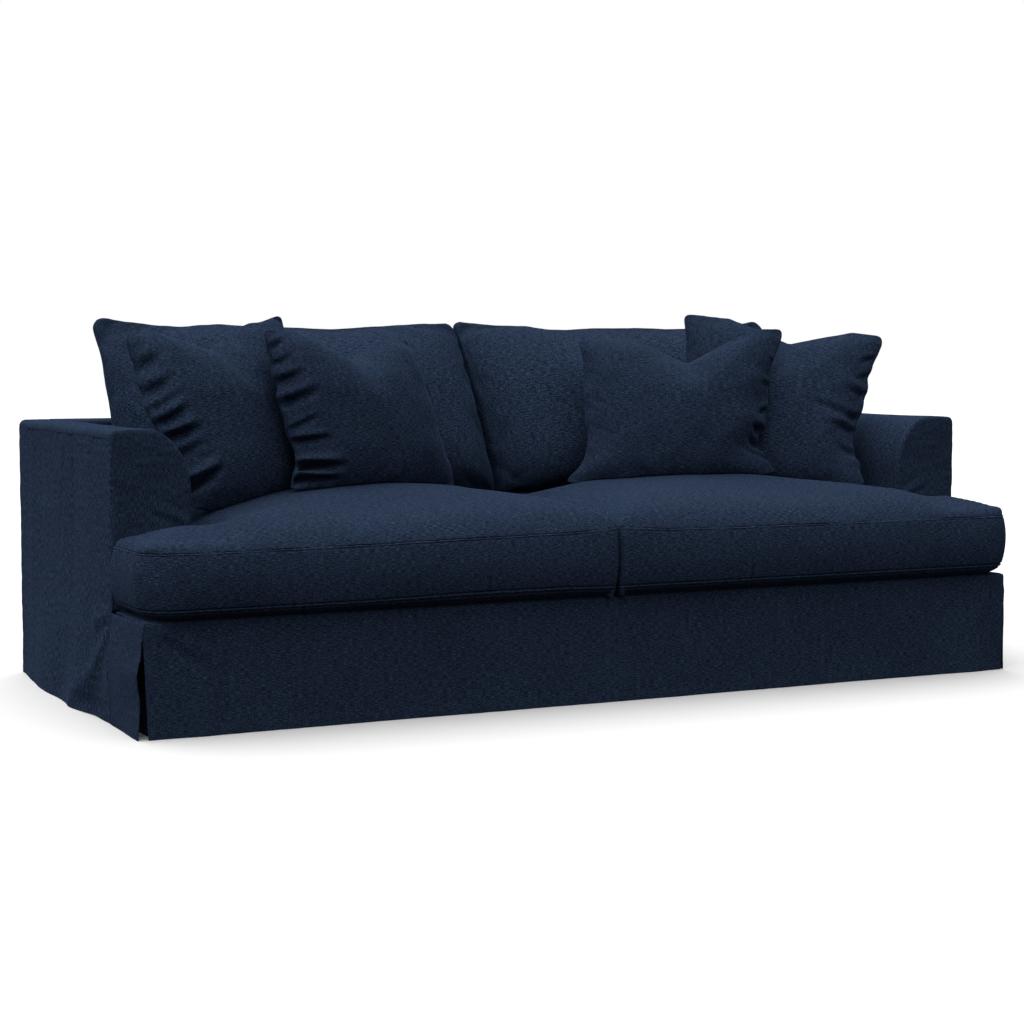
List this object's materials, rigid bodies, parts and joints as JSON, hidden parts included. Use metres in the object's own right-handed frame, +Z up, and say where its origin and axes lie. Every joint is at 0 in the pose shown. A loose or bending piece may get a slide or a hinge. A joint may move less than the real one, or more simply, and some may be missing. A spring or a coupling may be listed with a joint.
{
  "type": "sofa slipcover",
  "caption": "Fitted floor-length slipcover set for a wide sofa, in dark blue cloth, with T-shaped seat cushions, loose back cushions and throw pillows.",
  "frame": {"origin": "on the floor, under the middle of the set", "axes": "+X across the width to the right as seen from the front, +Y towards the back, +Z up"},
  "size_m": [2.4608, 1.1879, 0.9635],
  "materials": {
    "cover_cloth": "heathered navy chenille weave, matt",
    "cushion_cloth": "heathered navy chenille weave, matt",
    "pillow_cloth": "heathered navy chenille weave, matt"
  },
  "bodies": {
    "root": {"outside_back": "cover_cloth", "inside_back": "cover_cloth", "deck": "cover_cloth", "front_skirt": "cover_cloth", "inside_arm_left": "cover_cloth", "arm_front_left": "cover_cloth", "outside_arm_left": "cover_cloth", "side_return_left": "cover_cloth", "pleat_underlap_left": "cover_cloth", "inside_arm_right": "cover_cloth", "arm_front_right": "cover_cloth", "outside_arm_right": "cover_cloth", "side_return_right": "cover_cloth", "pleat_underlap_right": "cover_cloth", "seat_cushion_left": "cushion_cloth", "seat_cushion_right": "cushion_cloth", "back_cushion_left": "cushion_cloth", "back_cushion_right": "cushion_cloth", "pillow_inner_left": "pillow_cloth", "pillow_inner_right": "pillow_cloth", "pillow_outer_left": "pillow_cloth", "pillow_outer_right": "pillow_cloth"}
  },
  "joints": []
}
